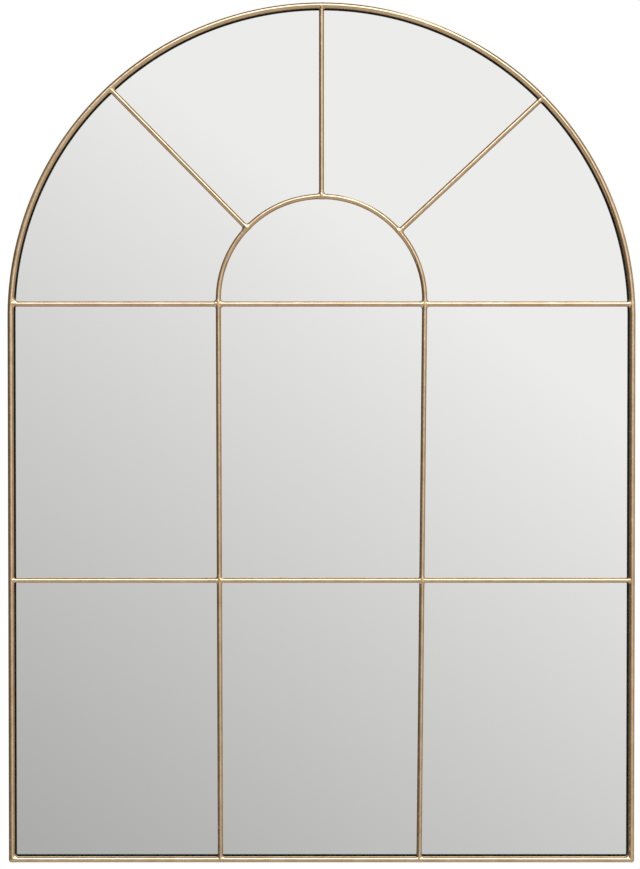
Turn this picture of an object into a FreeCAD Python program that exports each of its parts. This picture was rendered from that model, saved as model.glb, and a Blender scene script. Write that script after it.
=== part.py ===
import FreeCAD, Part
import math
import os
import re
import Sketcher
from FreeCAD import Vector

# Arched wall mirror: one sheet of mirror behind a welded window frame of round steel rod.
#
# Millimetres. +X is to the right as seen from the front, +Z is up, and the front faces -Y.
# The origin is the middle of the whole mirror, from the wall to the front of the rails and from the
# bottom rail to the top of the arch. In the formulas below a depth is a distance in front of the
# wall, and a height is measured from the underside of the bottom rail.

DIMENSIONS = [
    ("frame_width", "628", "outside the rails, where the arch springs"),
    ("foot_taper", "3", "how much narrower the frame is at the bottom rail"),
    ("frame_height", "860", "underside of the bottom rail to the top of the arch"),
    ("frame_rod", "6", "diameter of the rails"),
    ("corner_grind", "0.9", "ground off the tip of each welded foot corner"),
    ("bar_rod", "5", "diameter of the bars and spokes"),
    ("bar_setback", "0.3", "front of the bars behind the front of the rails"),
    ("weld_root", "0.3", "blunt tip left on a bar that is coped to another bar"),
    ("upper_bar_rise", "12.4", "springing of the arch up to the axis of the upper cross bar"),
    ("lower_bar_height", "282", "axis of the lower cross bar"),
    ("inner_arch_width", "206.5", "between the axes of the inner arch's two sides"),
    ("inner_arch_stilt", "4.4", "upper cross bar up to the springing of the inner arch"),
    ("left_leg_foot", "101.1", "middle to the axis of the left upright bars, at the bottom rail"),
    ("right_leg_foot", "97.6", "middle to the axis of the right upright bars, at the bottom rail"),
    ("left_spoke_angle", "45.5", "degrees above level, from the middle of the upper cross bar"),
    ("right_spoke_angle", "43", "degrees above level, from the middle of the upper cross bar"),
    ("glass_thickness", "3", "mirror, silvered on its back"),
    ("glass_gap", "1.4", "dark gap between the rails and the edge of the mirror"),
    ("glass_arris", "0.4", "flat ground on the edges of the mirror"),
    ("bar_clearance", "0.2", "front of the mirror to the back of the bars"),
    ("tape_thickness", "1", "foam tape between the mirror and the board"),
    ("tape_width", "20", "width of each strip of tape"),
    ("tape_offset", "180", "middle strip to each of the others"),
    ("tape_foot", "70", "height of the lower end of each strip"),
    ("tape_rise", "100", "springing of the arch up to the upper end of each strip"),
    ("board_thickness", "6", "back board"),
    ("tab_width", "10", "retaining tab, along the rail"),
    ("tab_thickness", "1", "sheet that the tabs are cut from"),
    ("tab_clearance", "0.2", "between a tab and the board"),
    ("tab_reach", "12", "axis of the rail to the free end of a tab"),
    ("wall_clearance", "0.7", "wall to the curl of the hanger straps"),
    ("bumper_diameter", "14", "wall bumper where it is stuck to the board"),
    ("bumper_face", "11", "flat face of a bumper, on the wall"),
    ("bumper_inset", "50", "axis of the side rail to the middle of a bumper"),
    ("bumper_height", "60", "middle of the bumpers"),
    ("hook_drop", "220", "top of the arch down to the hooks that the rings hang on"),
    ("hook_span", "400", "between the two hooks"),
    ("strap_thickness", "0.8", "sheet of the hanger strap"),
    ("strap_width", "12", "hanger strap"),
    ("strap_end", "7", "lower screw to the lower end of the strap"),
    ("strap_corner", "4", "radius of the strap's lower corners"),
    ("ring_wire", "2.5", "diameter of the ring's wire"),
    ("ring_bend", "2.6", "axis radius of the ring's two lower bends"),
    ("ring_play", "0.1", "between the ring's wire and the strap's curl, all round"),
    ("ring_side_play", "0.6", "end of the curl to the bend of the ring"),
    ("ring_rest_gap", "0.35", "between the ring and the board that it leans on"),
    ("ring_screw_gap", "2", "turned-down ring to the head of the upper screw"),
    ("screw_step", "11", "upper screw to lower screw"),
    ("screw_thread", "2.9", "diameter of the screws"),
    ("screw_cover", "0.8", "point of a screw to the front of the board"),
    ("screw_point", "1.2", "length of the point"),
    ("screw_head", "5.6", "diameter of the pan head"),
    ("screw_head_height", "2.1", "pan head"),
    ("screw_head_round", "1.2", "radius round the top of the pan head"),
    ("recess_span", "3.2", "cross recess, tip to tip"),
    ("recess_slot", "0.8", "width of each slot of the recess"),
    ("recess_depth", "1.1", "cross recess"),
    ("strap_hole_play", "0.2", "between a screw and its hole in the strap, all round"),
    ("pilot_play", "0.02", "between a screw and its hole in the board, all round"),
    ("pilot_spare", "0.3", "hole in the board past the point of the screw"),
]
ARCH_TABS = 5
SIDE_TABS = 3
FOOT_TABS = 3
TAPE_STRIPS = {"left": -1, "centre": 0, "right": 1}
SIDES = {"left": -1, "right": 1}
NEAR = 1e-6
CORNER_SHARE = 0.45  # most of a width, and
CROWN_SHARE = 0.9  # most of a height, that a rounded edge may take

doc = FreeCAD.newDocument("arched_wall_mirror")
dims = doc.addObject("Spreadsheet::Sheet", "Dims")
for row, (alias, size, note) in enumerate(DIMENSIONS, start=1):
    dims.set(f"A{row}", alias)
    dims.set(f"B{row}", size)
    dims.setAlias(f"B{row}", alias)
    dims.set(f"C{row}", note)
doc.recompute()

ALIAS = re.compile(r"\b(" + "|".join(alias for alias, size, note in DIMENSIONS) + r")\b")
nodes = []


def lean_of(foot_x, foot_z, centre_z, radius):
    """Angle from upright of a straight that rises from a foot point and runs into an arch."""
    rise = f"({centre_z} - {foot_z})"
    return f"(asin({radius} / sqrt({foot_x}^2 + {rise}^2)) - atan({foot_x} / {rise}))"


# Hanging ring: its wire turns in the curl of a strap, and the curl sets the gap to the wall
CURL_BORE = "(ring_wire / 2 + ring_play)"
CURL_RADIUS = f"({CURL_BORE} + strap_thickness)"
RING_BAR = "(strap_width / 2 + ring_side_play)"
RING_RADIUS = f"({RING_BAR} + ring_bend)"
RING_REACH = f"({RING_RADIUS} + ring_bend)"
RING_LEAN = f"asin(({CURL_RADIUS} - ring_wire / 2 - ring_rest_gap) / {RING_REACH})"

# Depths in front of the wall
WALL_GAP = f"(2 * {CURL_RADIUS} + wall_clearance)"
BOARD_FRONT = f"({WALL_GAP} + board_thickness)"
GLASS_BACK = f"({BOARD_FRONT} + tape_thickness)"
GLASS_FRONT = f"({GLASS_BACK} + glass_thickness)"
BAR_DEPTH = f"({GLASS_FRONT} + bar_clearance + bar_rod / 2)"
RAIL_DEPTH = f"({BAR_DEPTH} + bar_rod / 2 + bar_setback - frame_rod / 2)"
PIVOT_DEPTH = f"({WALL_GAP} - {CURL_RADIUS})"

# Middle of the whole, which is the origin
MIDDLE_DEPTH = f"(({RAIL_DEPTH} + frame_rod / 2) / 2)"
MIDDLE_HEIGHT = "(frame_height / 2)"

# Axis of the rails
ARCH_RADIUS = "(frame_width / 2 - frame_rod / 2)"
SPRINGING = "(frame_height - frame_width / 2)"
FOOT_X = f"({ARCH_RADIUS} - foot_taper / 2)"
FOOT_Z = "(frame_rod / 2)"
RAIL_LEAN = lean_of(FOOT_X, FOOT_Z, SPRINGING, ARCH_RADIUS)
OVERRUN = "(3 * frame_rod)"  # what the rails run past the foot corners before they are mitred

# Axes of the bars
UPPER_BAR = f"({SPRINGING} + upper_bar_rise)"
INNER_RADIUS = "(inner_arch_width / 2)"
INNER_SPRINGING = f"({UPPER_BAR} + inner_arch_stilt)"
LEG_FEET = {"left": "(-left_leg_foot)", "right": "right_leg_foot"}
LEG_TOPS = {"left": f"(-{INNER_RADIUS})", "right": INNER_RADIUS}

# Heights of the hangers, and the screws below the pivot
HOOK_HEIGHT = "(frame_height - hook_drop)"
PIVOT_HEIGHT = f"({HOOK_HEIGHT} - {RING_REACH} + ring_wire / 2)"
SCREW_DROPS = [f"({RING_REACH} + ring_wire / 2 + ring_screw_gap + screw_head / 2)"]
SCREW_DROPS.append(f"({SCREW_DROPS[0]} + screw_step)")
STRAP_LENGTH = f"({SCREW_DROPS[1]} + strap_end)"
SCREW_LENGTH = "(strap_thickness + board_thickness - screw_cover)"


def bound(formula):
    """The formula with each dimension's name turned into a reference to its cell."""
    return ALIAS.sub(r"Dims.\1", formula)


def amount(formula):
    """What a formula comes to with the present dimensions."""
    result = dims.evalExpression(bound(formula))
    return getattr(result, "Value", result)


def bind(item, prop, formula):
    item.setExpression(prop, bound(formula))


def place(item, x, depth, height, turn="0", axis="0; 1; 0"):
    """Puts an item at a point, turned about an axis through that point."""
    spot = f"vector({x}; {MIDDLE_DEPTH} - {depth}; {height} - {MIDDLE_HEIGHT})"
    bind(item, "Placement", f"placement({spot}; rotation(vector({axis}); {turn}))")


def rail_x(height):
    """How far the axis of a side rail is from the middle, at a height below the springing."""
    return f"({FOOT_X} + ({height} - {FOOT_Z}) * tan({RAIL_LEAN}))"


def leg_x(word, height):
    """Where the axis of an upright bar is at a height, on its line up to the foot of the inner arch."""
    climbed = f"(({height} - {FOOT_Z}) / ({UPPER_BAR} - {FOOT_Z}))"
    return f"({LEG_FEET[word]} + ({LEG_TOPS[word]} - {LEG_FEET[word]}) * {climbed})"


def keep_node(item, name):
    """Marks a finished piece, whose label names its file."""
    item.Label = name
    nodes.append(item)
    return item


# Sketches and features


def new_body(name):
    return doc.addObject("PartDesign::Body", name)


def sketch_on(body, plane, name, offset=None):
    """A sketch on one of the body's own planes, or moved off it along its normal."""
    sketch = body.newObject("Sketcher::SketchObject", name)
    support = next(item for item in body.Origin.OriginFeatures if item.Role == plane)
    sketch.AttachmentSupport = [(support, "")]
    sketch.MapMode = "FlatFace"
    if offset:
        bind(sketch, "AttachmentOffset.Base.z", offset)
    return sketch


def pin(sketch, kind, geometry, vertex, formula):
    """Ties one coordinate of a point, counted from the sketch's origin, to a formula."""
    rule = Sketcher.Constraint(kind, -1, 1, geometry, vertex, amount(formula))
    bind(sketch, f"Constraints[{sketch.addConstraint(rule)}]", formula)


def pin_point(sketch, geometry, vertex, x, y):
    pin(sketch, "DistanceX", geometry, vertex, x)
    pin(sketch, "DistanceY", geometry, vertex, y)


def pin_radius(sketch, geometry, formula):
    rule = Sketcher.Constraint("Radius", geometry, amount(formula))
    bind(sketch, f"Constraints[{sketch.addConstraint(rule)}]", formula)


def join(sketch, kind, first, second):
    """Joins the end of one line or arc to the start of the next, as Coincident or Tangent."""
    sketch.addConstraint(Sketcher.Constraint(kind, first, 2, second, 1))


def add_line(sketch, start, end):
    return sketch.addGeometry(Part.LineSegment(Vector(*start, 0), Vector(*end, 0)))


def add_arc(sketch, centre, radius, start, end):
    """An arc from one angle, in radians, round to the other."""
    circle = Part.Circle(Vector(*centre, 0), Vector(0, 0, 1), radius)
    return sketch.addGeometry(Part.ArcOfCircle(circle, start, end))


def draw_circle(sketch, x, y, radius):
    centre = Vector(amount(x), amount(y), 0)
    circle = sketch.addGeometry(Part.Circle(centre, Vector(0, 0, 1), amount(radius)))
    pin_point(sketch, circle, 3, x, y)
    pin_radius(sketch, circle, radius)


def draw_polygon(sketch, points):
    corners = [(amount(x), amount(y)) for x, y in points]
    edges = [add_line(sketch, *ends) for ends in zip(corners, corners[1:] + corners[:1])]
    for edge, following in zip(edges, edges[1:] + edges[:1]):
        join(sketch, "Coincident", edge, following)
    for edge, (x, y) in zip(edges, points):
        pin_point(sketch, edge, 1, x, y)


def draw_arch(sketch, foot_x, foot_z, centre_z, radius, lean):
    """Right straight, arch and left straight, each running smoothly into the next."""
    tilt = math.radians(amount(lean))
    reach = amount(radius)
    top = amount(centre_z)
    foot = (amount(foot_x), amount(foot_z))
    spring = (reach * math.cos(tilt), top - reach * math.sin(tilt))
    right = add_line(sketch, foot, spring)
    arch = add_arc(sketch, (0, top), reach, -tilt, math.pi + tilt)
    left = add_line(sketch, (-spring[0], spring[1]), (-foot[0], foot[1]))
    join(sketch, "Tangent", right, arch)
    join(sketch, "Tangent", arch, left)
    pin_point(sketch, arch, 3, "0", centre_z)
    pin_radius(sketch, arch, radius)
    pin_point(sketch, right, 1, foot_x, foot_z)
    pin_point(sketch, left, 2, f"(-{foot_x})", foot_z)
    return right, left


def pad(body, sketch, length, symmetric=False):
    feature = body.newObject("PartDesign::Pad", sketch.Name + "_pad")
    feature.Profile = sketch
    feature.SideType = "Symmetric" if symmetric else "One side"
    bind(feature, "Length", length)
    return feature


def pocket_through(body, sketch):
    feature = body.newObject("PartDesign::Pocket", sketch.Name + "_cut")
    feature.Profile = sketch
    feature.Type = "ThroughAll"
    feature.SideType = "Symmetric"
    return feature


def pocket_forward(body, sketch, depth):
    """Cuts along the sketch's normal."""
    feature = body.newObject("PartDesign::Pocket", sketch.Name + "_cut")
    feature.Profile = sketch
    feature.Reversed = True
    bind(feature, "Length", depth)
    return feature


def pipe(body, profile, spine):
    feature = body.newObject("PartDesign::AdditivePipe", spine.Name + "_rod")
    feature.Profile = profile
    feature.Spine = spine
    return feature


def edges_where(feature, test):
    """Names of a feature's edges that pass a test."""
    doc.recompute()
    return [f"Edge{i}" for i, edge in enumerate(feature.Shape.Edges, start=1) if test(edge)]


def soften(body, kind, feature, prop, size, test):
    """A Fillet or Chamfer on the edges of a feature that pass a test."""
    dressing = body.newObject("PartDesign::" + kind, feature.Name + "_" + kind.lower())
    dressing.Base = (feature, edges_where(feature, test))
    bind(dressing, prop, size)
    return dressing


def cut_away(name, base, *tools):
    """A finished piece: a solid with others cut out of it, one after another."""
    for number, tool in enumerate(tools, start=1):
        cut = doc.addObject("Part::Cut", f"{name}_cope_{number}")
        cut.Base = base
        cut.Tool = tool
        base = cut
    return keep_node(base, name)


# Frame


def bent_rod(name, foot_x, foot_z, centre_z, radius, lean, depth, rod):
    """A round rod bent into an arch on two straight sides."""
    body = new_body(name)
    place(body, "0", "0", "0")
    spine = sketch_on(body, "XZ_Plane", name + "_axis", depth)
    draw_arch(spine, foot_x, foot_z, centre_z, radius, lean)
    section = sketch_on(body, "XY_Plane", name + "_section")
    spot = f"vector({foot_x}; -{depth}; {foot_z})"
    bind(section, "AttachmentOffset", f"placement({spot}; rotation(vector(0; 1; 0); {lean}))")
    draw_circle(section, "0", "0", f"({rod} / 2)")
    pipe(body, section, spine)
    return body


def mitre_corners(body, name, keep_side):
    """Cuts the two foot corners at 45 degrees, and grinds their tips flat."""
    sketch = sketch_on(body, "XZ_Plane", name + "_mitre")
    tip = "(frame_rod / 2 - corner_grind / sqrt(2))"
    far = f"(2 * {OVERRUN})"
    if keep_side:
        waste = [(f"-{far}", far), (tip, f"-{tip}"), (f"({tip} + {far})", f"({far} - {tip})")]
        waste += [(f"(2 * {far})", f"-{far}"), (f"-{far}", f"-{far}")]
    else:
        waste = [(f"-{far}", far), (tip, f"-{tip}"), (f"({tip} - {far})", f"(-{tip} - {far})")]
        waste += [(f"(2 * {far})", f"(-2 * {far})"), (f"(2 * {far})", far)]
    for side in SIDES.values():
        draw_polygon(sketch, [(f"({side} * ({FOOT_X} + {x}))", f"({FOOT_Z} + {z})") for x, z in waste])
    pocket_through(body, sketch)


def build_rails():
    """One rod bent into both sides and the arch, and a bottom rail mitred to its two ends."""
    below = f"({FOOT_Z} - {OVERRUN})"
    arch_rail = bent_rod(
        "arch_rail", rail_x(below), below, SPRINGING, ARCH_RADIUS, RAIL_LEAN, RAIL_DEPTH, "frame_rod"
    )
    mitre_corners(arch_rail, "arch_rail", keep_side=True)
    bottom_rail = new_body("bottom_rail")
    place(bottom_rail, "0", "0", "0")
    section = sketch_on(bottom_rail, "YZ_Plane", "bottom_rail_section")
    draw_circle(section, f"(-{RAIL_DEPTH})", FOOT_Z, "(frame_rod / 2)")
    pad(bottom_rail, section, f"(2 * ({FOOT_X} + {OVERRUN}))", symmetric=True)
    mitre_corners(bottom_rail, "bottom_rail", keep_side=False)
    return keep_node(arch_rail, "arch_rail"), keep_node(bottom_rail, "bottom_rail")


def straight_rod(name, start, end):
    """A bar between two points, each an x and a height."""
    (x0, z0), (x1, z1) = start, end
    across = f"({x1} - {x0})"
    rise = f"({z1} - {z0})"
    rod = doc.addObject("Part::Cylinder", name + "_rod")
    bind(rod, "Radius", "bar_rod / 2")
    bind(rod, "Height", f"sqrt({across}^2 + {rise}^2)")
    place(rod, x0, BAR_DEPTH, z0, f"atan2({across}; {rise})")
    return rod


def build_cross_bars(arch_rail):
    """Two level bars, coped at both ends to the side rails."""
    upper_half = f"sqrt({ARCH_RADIUS}^2 - upper_bar_rise^2)"
    lower_half = rail_x("lower_bar_height")
    upper = straight_rod("upper_cross_bar", (f"(-{upper_half})", UPPER_BAR), (upper_half, UPPER_BAR))
    lower_ends = [(f"({side} * {lower_half})", "lower_bar_height") for side in SIDES.values()]
    lower = straight_rod("lower_cross_bar", *lower_ends)
    return cut_away("upper_cross_bar", upper, arch_rail), cut_away("lower_cross_bar", lower, arch_rail)


def build_inner_arch(upper_bar):
    """The small arch that stands on the upper cross bar, its two sides upright."""
    foot = f"({UPPER_BAR} + weld_root)"
    rod = bent_rod(
        "inner_arch_rod", INNER_RADIUS, foot, INNER_SPRINGING, INNER_RADIUS, "0", BAR_DEPTH, "bar_rod"
    )
    return cut_away("inner_arch", rod, upper_bar)


def build_uprights(bottom_rail, upper_bar, lower_bar):
    """Two lengths of bar on each side, in line under the sides of the inner arch."""
    for word in SIDES:
        spans = {
            "mid": ("(lower_bar_height + weld_root)", f"({UPPER_BAR} - weld_root)", lower_bar, upper_bar),
            "lower": (FOOT_Z, "(lower_bar_height - weld_root)", bottom_rail, lower_bar),
        }
        for part, (foot, top, below, above) in spans.items():
            name = f"{word}_{part}_bar"
            ends = [(leg_x(word, height), height) for height in (foot, top)]
            cut_away(name, straight_rod(name, *ends), below, above)


def run_to_arch(angle, radius, centre_above):
    """How far a line at an angle runs from the middle of the upper bar until it meets an arch."""
    level = f"({centre_above} * cos({angle}))"
    return f"({centre_above} * sin({angle}) + sqrt({radius}^2 - {level}^2))"


def build_spokes(arch_rail, inner_arch):
    """Three spokes from the inner arch to the rail, on lines through the middle of the upper bar."""
    angles = {"left": "(180 - left_spoke_angle)", "centre": "90", "right": "right_spoke_angle"}
    for word, angle in angles.items():
        inner = run_to_arch(angle, INNER_RADIUS, "inner_arch_stilt")
        outer = run_to_arch(angle, ARCH_RADIUS, "(-upper_bar_rise)")
        ends = [
            (f"({run} * cos({angle}))", f"({UPPER_BAR} + {run} * sin({angle}))")
            for run in (f"({inner} + weld_root)", outer)
        ]
        name = word + "_spoke"
        cut_away(name, straight_rod(name, *ends), arch_rail, inner_arch)


# Mirror and board


def arch_plate(name, inset, depth, thickness):
    """A flat plate of the frame's outline, its edge set in from the axis of the rails."""
    body = new_body(name)
    place(body, "0", "0", "0")
    outline = sketch_on(body, "XZ_Plane", name + "_outline", depth)
    foot_z = f"({FOOT_Z} + {inset})"
    foot_x = f"({rail_x(foot_z)} - {inset} / cos({RAIL_LEAN}))"
    radius = f"({ARCH_RADIUS} - {inset})"
    right, left = draw_arch(outline, foot_x, foot_z, SPRINGING, radius, RAIL_LEAN)
    half = amount(foot_x)
    foot = add_line(outline, (-half, amount(foot_z)), (half, amount(foot_z)))
    join(outline, "Coincident", left, foot)
    join(outline, "Coincident", foot, right)
    return body, pad(body, outline, thickness)


def build_glass():
    """The mirror, with a fine flat ground all round both faces."""
    inset = "(frame_rod / 2 + glass_gap)"
    body, plate = arch_plate("mirror_glass", inset, GLASS_BACK, "glass_thickness")

    def on_face(edge):
        return edge.BoundBox.YLength < NEAR

    soften(body, "Chamfer", plate, "Size", "glass_arris", on_face)
    keep_node(body, "mirror_glass")


def build_tape():
    """Strips of foam tape that hold the mirror to the board."""
    for word, place_number in TAPE_STRIPS.items():
        strip = doc.addObject("Part::Box", word + "_tape")
        bind(strip, "Length", "tape_width")
        bind(strip, "Width", "tape_thickness")
        bind(strip, "Height", f"({SPRINGING} + tape_rise - tape_foot)")
        place(strip, f"({place_number} * tape_offset - tape_width / 2)", GLASS_BACK, "tape_foot")
        keep_node(strip, word + "_tape")


def build_board():
    """Back board, with blind holes for the screws of the hanger straps."""
    body, plate = arch_plate(
        "back_board", "(tab_thickness / 2 + tab_clearance)", WALL_GAP, "board_thickness"
    )
    holes = sketch_on(body, "XZ_Plane", "pilot_holes", WALL_GAP)
    for side in SIDES.values():
        for drop in SCREW_DROPS:
            spot = (f"({side} * hook_span / 2)", f"({PIVOT_HEIGHT} - {drop})")
            draw_circle(holes, *spot, "(screw_thread / 2 + pilot_play)")
    pocket_forward(body, holes, "(board_thickness - screw_cover + pilot_spare)")
    keep_node(body, "back_board")


def build_tab(name, rail, x, height, turn):
    """A strip of sheet welded to the back of a rail and bent over the board."""
    body = new_body(name + "_strip")
    section = sketch_on(body, "YZ_Plane", name + "_section")
    half = "(tab_thickness / 2)"
    flap_front = f"({WALL_GAP} - tab_clearance)"
    flap_back = f"({flap_front} - tab_thickness)"
    outline = [
        (flap_back, f"-{half}"),
        (RAIL_DEPTH, f"-{half}"),
        (RAIL_DEPTH, half),
        (flap_front, half),
        (flap_front, "tab_reach"),
        (flap_back, "tab_reach"),
    ]
    draw_polygon(section, [(f"(-{depth})", inward) for depth, inward in outline])
    strip = pad(body, section, "tab_width", symmetric=True)
    bend = (-amount(flap_back), -amount(half))

    def on_bend(edge):
        middle = edge.BoundBox.Center
        return math.dist((middle.y, middle.z), bend) < NEAR

    soften(body, "Fillet", strip, "Radius", "tab_thickness", on_bend)
    place(body, x, "0", height, turn)
    cut_away(name, body, rail)


def build_tabs(arch_rail, bottom_rail):
    """Retaining tabs, evenly spread along the arch, both sides and the bottom rail."""
    spots = []
    for number in range(ARCH_TABS):
        angle = f"(180 * {number + 0.5} / {ARCH_TABS})"
        x = f"({ARCH_RADIUS} * cos({angle}))"
        height = f"({SPRINGING} + {ARCH_RADIUS} * sin({angle}))"
        spots.append((arch_rail, x, height, f"(-90 - {angle})"))
    for side in SIDES.values():
        for number in range(SIDE_TABS):
            height = f"({SPRINGING} * {number + 0.5} / {SIDE_TABS})"
            x = f"({side} * {rail_x(height)})"
            spots.append((arch_rail, x, height, f"({side} * ({RAIL_LEAN} - 90 deg))"))
    for number in range(FOOT_TABS):
        x = f"(2 * {FOOT_X} * ({number + 0.5} / {FOOT_TABS} - 0.5))"
        spots.append((bottom_rail, x, FOOT_Z, "0"))
    for number, spot in enumerate(spots, start=1):
        build_tab(f"retaining_tab_{number:02d}", *spot)


# Hangers


def build_strap(word, x):
    """A strap screwed to the board, its upper end curled round the ring's wire."""
    name = word + "_hanger_strap"
    body = new_body(name)
    curl = sketch_on(body, "YZ_Plane", name + "_curl")
    draw_circle(curl, "0", "0", CURL_RADIUS)
    draw_circle(curl, "0", "0", CURL_BORE)
    pad(body, curl, "strap_width", symmetric=True)
    leaf = sketch_on(body, "YZ_Plane", name + "_leaf")
    back = f"(-{CURL_RADIUS})"
    front = f"(strap_thickness - {CURL_RADIUS})"
    top = "(-strap_thickness / 2)"
    end = f"(-{STRAP_LENGTH})"
    draw_polygon(leaf, [(back, top), (back, end), (front, end), (front, top)])
    strap = pad(body, leaf, "strap_width", symmetric=True)
    lowest = amount(end)

    def at_corner(edge):
        return edge.BoundBox.ZMax - lowest < NEAR and edge.BoundBox.XLength < NEAR

    soften(body, "Fillet", strap, "Radius", f"min(strap_corner; {CORNER_SHARE} * strap_width)", at_corner)
    holes = sketch_on(body, "XZ_Plane", name + "_holes")
    for drop in SCREW_DROPS:
        draw_circle(holes, "0", f"(-{drop})", "(screw_thread / 2 + strap_hole_play)")
    pocket_through(body, holes)
    place(body, x, PIVOT_DEPTH, PIVOT_HEIGHT)
    keep_node(body, name)


def build_ring(word, x):
    """A wire ring with a straight bar, leaning up against the board."""
    name = word + "_hanging_ring"
    body = new_body(name)
    spine = sketch_on(body, "XZ_Plane", name + "_axis")
    bar, bend, radius = amount(RING_BAR), amount("ring_bend"), amount(RING_RADIUS)
    right_bar = add_line(spine, (0, 0), (bar, 0))
    right_bend = add_arc(spine, (bar, bend), bend, -math.pi / 2, 0)
    bow = add_arc(spine, (0, bend), radius, 0, math.pi)
    left_bend = add_arc(spine, (-bar, bend), bend, math.pi, 1.5 * math.pi)
    left_bar = add_line(spine, (-bar, 0), (0, 0))
    path = [right_bar, right_bend, bow, left_bend, left_bar]
    for first, second in zip(path, path[1:]):
        join(spine, "Tangent", first, second)
    join(spine, "Coincident", left_bar, right_bar)
    pin_point(spine, right_bar, 1, "0", "0")
    pin_point(spine, right_bar, 2, RING_BAR, "0")
    pin_point(spine, left_bar, 1, f"(-{RING_BAR})", "0")
    pin_radius(spine, right_bend, "ring_bend")
    pin_radius(spine, left_bend, "ring_bend")
    pin(spine, "DistanceY", bow, 3, "ring_bend")
    section = sketch_on(body, "YZ_Plane", name + "_section")
    draw_circle(section, "0", "0", "(ring_wire / 2)")
    pipe(body, section, spine)
    place(body, x, PIVOT_DEPTH, PIVOT_HEIGHT, RING_LEAN, "1; 0; 0")
    keep_node(body, name)


def build_screw(name, x, height):
    """A pan head screw with a cross recess, driven forwards into the board."""
    body = new_body(name)
    half = sketch_on(body, "XY_Plane", name + "_half")
    shank = "(screw_thread / 2)"
    draw_polygon(half, [
        ("0", "screw_head_height"),
        ("0", f"(-{SCREW_LENGTH})"),
        (shank, f"(screw_point - {SCREW_LENGTH})"),
        (shank, "0"),
        ("(screw_head / 2)", "0"),
        ("(screw_head / 2)", "screw_head_height"),
    ])
    turned = body.newObject("PartDesign::Revolution", name + "_turned")
    turned.Profile = half
    turned.ReferenceAxis = (half, ["V_Axis"])
    turned.Angle = 360
    crown = amount("screw_head_height")

    def on_rim(edge):
        return edge.Closed and abs(edge.BoundBox.Center.y - crown) < NEAR

    limits = f"{CROWN_SHARE} * screw_head_height; {CORNER_SHARE} * screw_head"
    soften(body, "Fillet", turned, "Radius", f"min(screw_head_round; {limits})", on_rim)
    recess = sketch_on(body, "XZ_Plane", name + "_recess", "(-screw_head_height)")
    tip, slot = "recess_span / 2", "recess_slot / 2"
    quarter = [(tip, slot), (slot, slot), (slot, tip)]
    cross = []
    for across, up in ((1, 1), (-1, 1), (-1, -1), (1, -1)):
        corner = [(f"({across} * {a})", f"({up} * {b})") for a, b in quarter]
        cross += corner if across * up > 0 else corner[::-1]
    draw_polygon(recess, cross)
    pocket_forward(body, recess, "recess_depth")
    place(body, x, f"({WALL_GAP} - strap_thickness)", height)
    return body


def build_screws(word, x):
    """The two screws of one strap, as one node of separate solids."""
    name = word + "_hanger_screws"
    screws = doc.addObject("Part::Compound", name)
    screws.Links = [
        build_screw(f"{name}_{number}", x, f"({PIVOT_HEIGHT} - {drop})")
        for number, drop in enumerate(SCREW_DROPS, start=1)
    ]
    keep_node(screws, name)


def build_bumper(word, side):
    """A soft foot that keeps the lower edge off the wall."""
    bumper = doc.addObject("Part::Cone", word + "_wall_bumper")
    bind(bumper, "Radius1", "bumper_diameter / 2")
    bind(bumper, "Radius2", "bumper_face / 2")
    bind(bumper, "Height", WALL_GAP)
    x = f"({side} * ({rail_x('bumper_height')} - bumper_inset))"
    place(bumper, x, WALL_GAP, "bumper_height", "-90", "1; 0; 0")
    keep_node(bumper, word + "_wall_bumper")


def build_mirror():
    arch_rail, bottom_rail = build_rails()
    upper_bar, lower_bar = build_cross_bars(arch_rail)
    inner_arch = build_inner_arch(upper_bar)
    build_uprights(bottom_rail, upper_bar, lower_bar)
    build_spokes(arch_rail, inner_arch)
    build_glass()
    build_tape()
    build_board()
    build_tabs(arch_rail, bottom_rail)
    for word, side in SIDES.items():
        x = f"({side} * hook_span / 2)"
        build_strap(word, x)
        build_screws(word, x)
        build_ring(word, x)
        build_bumper(word, side)


def write_nodes():
    """Checks every object, then writes one file for each finished piece."""
    for item in doc.Objects:
        if "Invalid" in item.State or "Error" in item.State:
            raise RuntimeError(f"{item.Name} failed: {item.State}")
    for node in nodes:
        if node.Shape.isNull() or not node.Shape.isValid() or not node.Shape.Solids:
            raise RuntimeError(f"{node.Label} has no sound shape")
    os.makedirs("parts", exist_ok=True)
    for node in nodes:
        node.Shape.exportStep(f"parts/{node.Label}.step")
        print(f"{node.Label}: {len(node.Shape.Solids)} solid, {node.Shape.Volume:.1f} mm3")


build_mirror()
doc.recompute()
write_nodes()
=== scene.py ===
import math

import bmesh
import bpy
from mathutils import Euler, Matrix, Vector, noise


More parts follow.
